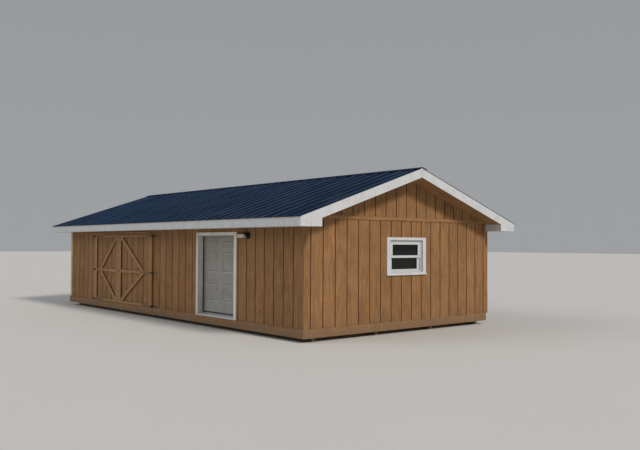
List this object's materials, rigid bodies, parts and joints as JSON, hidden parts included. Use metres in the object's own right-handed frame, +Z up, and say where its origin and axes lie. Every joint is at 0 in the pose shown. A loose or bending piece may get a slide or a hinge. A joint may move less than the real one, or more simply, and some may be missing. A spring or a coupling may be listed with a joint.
{
  "type": "timber boathouse",
  "caption": "Timber boathouse on runners: grooved plywood siding, boxed eaves, ribbed metal gable roof, braced barn doors, panelled entry door and a gable window.",
  "frame": {"origin": "on the ground under the middle of the building", "axes": "+X along the ridge towards the gable with the window, the doors face -Y, +Z up"},
  "size_m": [13.206, 7.138, 3.7801],
  "materials": {
    "runners": "weathered treated timber",
    "framing": "bare sawn softwood",
    "sheathing": "bare plywood",
    "skirt": "tan stained board",
    "siding": "tan stained rough-sawn plywood",
    "tan_trim": "tan stained board",
    "white_boards": "white painted board",
    "roof_metal": "dark blue gloss coil coating",
    "window_vinyl": "white vinyl",
    "window_glass": "clear glass before a dark room",
    "sill_metal": "mill finish",
    "door_paint": "satin light grey paint",
    "knob_metal": "satin nickel",
    "black_iron": "black painted iron",
    "lamp_body": "black weatherproof plastic"
  },
  "bodies": {
    "building": {"skids": "runners", "floor_frame": "framing", "floor_deck": "sheathing", "skirt_boards": "skirt", "front_wall_frame": "framing", "door_headers": "framing", "front_siding": "siding", "siding_over_doors": "siding", "back_wall_frame": "framing", "back_siding": "siding", "end_wall_frames": "framing", "window_wall_siding": "siding", "plain_end_siding": "siding", "gable_siding": "siding", "belt_boards": "tan_trim", "rafters_front": "framing", "rafters_back": "framing", "ridge_board": "framing", "ceiling_ties": "framing", "roof_deck": "sheathing", "metal_roof": "roof_metal", "ridge_cap": "roof_metal", "fascia_boards": "white_boards", "rake_boards": "white_boards", "rake_feet": "white_boards", "eave_soffits": "white_boards", "eave_returns": "white_boards", "gable_soffits": "siding", "window_casing": "white_boards", "window_frame": "window_vinyl", "window_sashes": "window_vinyl", "window_glass": "window_glass", "entry_casing_boards": "white_boards", "entry_frame": "white_boards", "entry_sill": "sill_metal", "entry_hinges_frame": "knob_metal", "barn_hinge_plates": "black_iron", "barn_head_board": "tan_trim", "flood_light": "lamp_body"},
    "barn_door_left": {"barn_panel_left": "siding", "barn_trim_left": "tan_trim", "barn_straps_left": "black_iron"},
    "barn_door_right": {"barn_panel_right": "siding", "barn_trim_right": "tan_trim", "barn_straps_right": "black_iron"},
    "entry_door": {"entry_leaf": "door_paint", "entry_knobs": "knob_metal", "entry_hinges_leaf": "knob_metal"}
  },
  "joints": [
    {"name": "barn_left_swing", "type": "hinge", "parent": "building", "child": "barn_door_left", "pos_m": [-4.14, -3.114, 1.217], "axis": [0, 0, -1], "range_deg": [0, 170]},
    {"name": "barn_right_swing", "type": "hinge", "parent": "building", "child": "barn_door_right", "pos_m": [-0.37, -3.114, 1.217], "axis": [0, 0, 1], "range_deg": [0, 170]},
    {"name": "entry_swing", "type": "hinge", "parent": "building", "child": "entry_door", "pos_m": [2.026, -2.879, 1.298], "axis": [0, 0, 1], "range_deg": [0, 100]}
  ]
}
